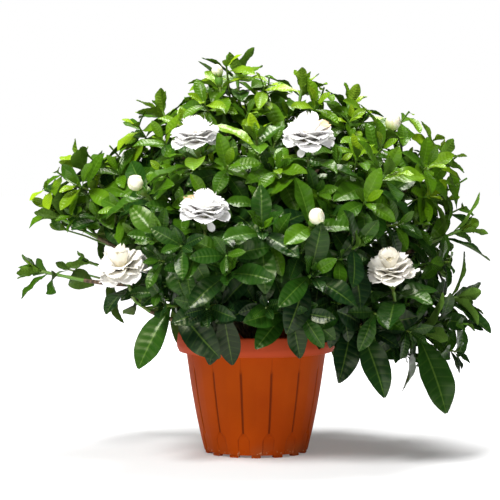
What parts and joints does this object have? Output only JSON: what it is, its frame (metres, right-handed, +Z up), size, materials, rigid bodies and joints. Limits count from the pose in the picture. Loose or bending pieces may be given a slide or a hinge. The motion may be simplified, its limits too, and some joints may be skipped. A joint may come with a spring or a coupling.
{
  "type": "potted gardenia",
  "caption": "Rounded gardenia shrub with glossy leaves and double white blooms, growing from soil in a ribbed terracotta-coloured plastic pot.",
  "frame": {"origin": "the pot's axis in the plane of its feet, under the middle of the plant", "axes": "+Z up along the pot's axis, +X to the right and the front of the plant facing -Y"},
  "size_m": [0.726, 0.5892, 0.62],
  "materials": {
    "pot": "satin",
    "soil": "matte",
    "wood": "matte",
    "leaf": "gloss",
    "petal": "matte",
    "bud": "satin"
  },
  "bodies": {
    "root": {"bloom_back_high": "petal", "bloom_back_mid_left": "petal", "bloom_crown_back": "petal", "bloom_front_high": "petal", "bloom_left_front": "petal", "bloom_right_front": "petal", "bloom_upper_left": "petal", "bloom_upper_right": "petal", "bud_crown_far_right": "bud", "bud_front_mid_right": "bud", "bud_left_front_high": "bud", "bud_top_left": "bud", "pot": "pot", "shoot_back_crown_left": "leaf", "shoot_back_crown_right": "leaf", "shoot_back_high": "leaf", "shoot_back_left": "leaf", "shoot_back_left_high": "leaf", "shoot_back_low_left": "leaf", "shoot_back_low_right": "leaf", "shoot_back_mid": "leaf", "shoot_back_mid_left": "leaf", "shoot_back_mid_right": "leaf", "shoot_back_right": "leaf", "shoot_back_right_high": "leaf", "shoot_crown_back": "leaf", "shoot_crown_far_right": "leaf", "shoot_crown_front": "leaf", "shoot_crown_left": "leaf", "shoot_crown_right": "leaf", "shoot_front": "leaf", "shoot_front_high": "leaf", "shoot_front_left": "leaf", "shoot_front_mid_right": "leaf", "shoot_front_right": "leaf", "shoot_left_front": "leaf", "shoot_left_front_high": "leaf", "shoot_left_high": "leaf", "shoot_left_low": "leaf", "shoot_left_mid": "leaf", "shoot_low_front_left": "leaf", "shoot_low_front_right": "leaf", "shoot_right_front": "leaf", "shoot_right_front_high": "leaf", "shoot_right_high": "leaf", "shoot_right_low": "leaf", "shoot_right_mid": "leaf", "shoot_skirt_front": "leaf", "shoot_skirt_front_left": "leaf", "shoot_skirt_front_right": "leaf", "shoot_skirt_left": "leaf", "shoot_skirt_right": "leaf", "shoot_top": "leaf", "shoot_top_left": "leaf", "shoot_top_right": "leaf", "shoot_upper_left": "leaf", "shoot_upper_right": "leaf", "soil": "soil", "woody_stems": "wood"}
  },
  "joints": []
}
